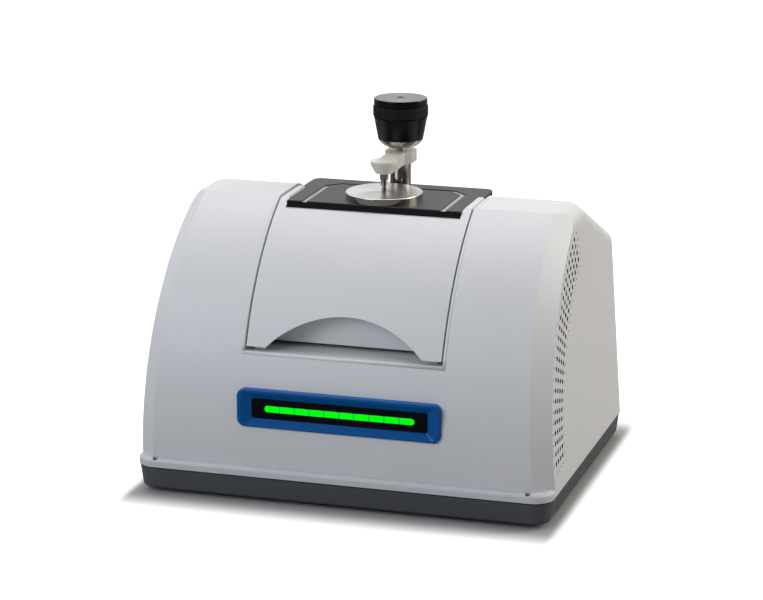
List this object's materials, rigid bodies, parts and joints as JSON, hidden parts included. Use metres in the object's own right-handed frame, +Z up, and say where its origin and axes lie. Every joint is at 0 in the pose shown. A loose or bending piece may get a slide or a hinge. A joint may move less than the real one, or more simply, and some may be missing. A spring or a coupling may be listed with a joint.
{
  "type": "ftir spectrometer",
  "caption": "Compact bench infrared spectrometer with arched front, side vents, status light and a slide-out crystal accessory with swivelling pressure arm and knob.",
  "frame": {"origin": "centre of the footprint, on the surface that the feet stand on", "axes": "+Z up, +X to the right seen from the front, -Y towards the user"},
  "size_m": [0.3504, 0.2764, 0.3071],
  "materials": {
    "cover_white": "fine moulded texture",
    "trim_grey": "fine moulded texture",
    "base_dark": "moulded satin",
    "rubber_black": "matt",
    "bezel_blue": "satin",
    "window_black": "polished",
    "light_green": "lit",
    "board_green": "solder mask",
    "liner_grey": "moulded",
    "steel_polished": "turned and polished",
    "steel_dark": "turned",
    "arm_silver": "satin painted casting",
    "plate_black": "hard anodised satin",
    "knob_black": "satin anodised",
    "chrome_dome": "polished",
    "cast_aluminium": "cast",
    "bright_mirror": "coated",
    "optic_glass": "polished",
    "crystal_clear": "polished",
    "black_plastic": "moulded",
    "ceramic_white": "ceramic",
    "zinc_plated": "plated",
    "brass_tube": "turned"
  },
  "bodies": {
    "housing": {"base_tray": "base_dark", "rubber_feet": "rubber_black", "main_cover": "cover_white", "front_skirt": "trim_grey", "skirt_screws": "steel_dark", "light_bezel": "bezel_blue", "light_window": "window_black", "light_pipes": "light_green", "light_board": "board_green", "bay_liner": "liner_grey", "bay_window_frames": "cast_aluminium", "bay_windows": "optic_glass", "optical_bench": "cast_aluminium", "bench_isolators": "rubber_black", "interferometer_block": "cast_aluminium", "detector_block": "cast_aluminium", "beamsplitter_mount": "cast_aluminium", "beamsplitter": "optic_glass", "fixed_mirror_mount": "cast_aluminium", "fixed_mirror": "bright_mirror", "detector_mirror_mount": "cast_aluminium", "detector_mirror": "bright_mirror", "drive_coil": "black_plastic", "source_housing": "cast_aluminium", "source_element": "ceramic_white", "source_mirror": "bright_mirror", "laser_clamp": "cast_aluminium", "reference_laser": "brass_tube", "laser_detector": "black_plastic", "detector_module": "zinc_plated", "desiccant_cartridge": "ceramic_white", "main_board": "board_green", "power_board": "board_green", "rear_panel": "zinc_plated", "dc_inlet": "black_plastic", "lan_port": "zinc_plated", "usb_ports": "zinc_plated", "switch_housing": "black_plastic", "fan_frame": "black_plastic"},
    "accessory": {"accessory_shell": "cover_white", "accessory_base": "cast_aluminium", "transfer_block": "cast_aluminium", "transfer_mirrors": "bright_mirror", "top_plate": "plate_black", "crystal_puck": "steel_polished", "diamond_crystal": "crystal_clear", "tower_column": "steel_polished"},
    "swivel_screw": {"lead_screw": "steel_polished"},
    "swivel_arm": {"pressure_arm": "arm_silver", "tip_holder": "steel_dark", "pressure_tip": "steel_polished"},
    "knob": {"knob_dome": "chrome_dome", "knob_cup": "knob_black", "knob_band": "rubber_black", "knob_cap": "knob_black"},
    "mirror_carriage": {"mirror_carriage": "steel_polished", "moving_mirror": "bright_mirror"},
    "fan_rotor": {"fan_rotor": "black_plastic"},
    "power_rocker": {"power_rocker": "black_plastic"}
  },
  "joints": [
    {"name": "accessory_slide", "type": "slide", "parent": "housing", "child": "accessory", "axis": [0, -1, 0], "range_m": [0, 0.18]},
    {"name": "arm_swivel", "type": "hinge", "parent": "accessory", "child": "swivel_screw", "pos_m": [0, 0.0399, 0.252], "axis": [0, 0, 1], "range_deg": [-170, 170]},
    {"name": "arm_lift", "type": "slide", "parent": "swivel_screw", "child": "swivel_arm", "axis": [0, 0, 1], "range_m": [0, 0.01]},
    {"name": "knob_turn", "type": "hinge", "parent": "swivel_arm", "child": "knob", "pos_m": [0, 0.0399, 0.27], "axis": [0, 0, 1], "range_deg": [0, 900]},
    {"name": "mirror_scan", "type": "slide", "parent": "housing", "child": "mirror_carriage", "axis": [0, 1, 0], "range_m": [-0.004, 0.004]},
    {"name": "fan_spin", "type": "hinge", "parent": "housing", "child": "fan_rotor", "pos_m": [0.154, -0.068, 0.068], "axis": [1, 0, 0], "continuous": true},
    {"name": "power_rocker_tilt", "type": "hinge", "parent": "housing", "child": "power_rocker", "pos_m": [0.032, 0.123, 0.0621], "axis": [1, 0, 0], "range_deg": [-16, 0]}
  ],
  "couplings": [
    {"joint": "arm_lift", "follows": "knob_turn", "m_per_rad": 0.0006366}
  ]
}
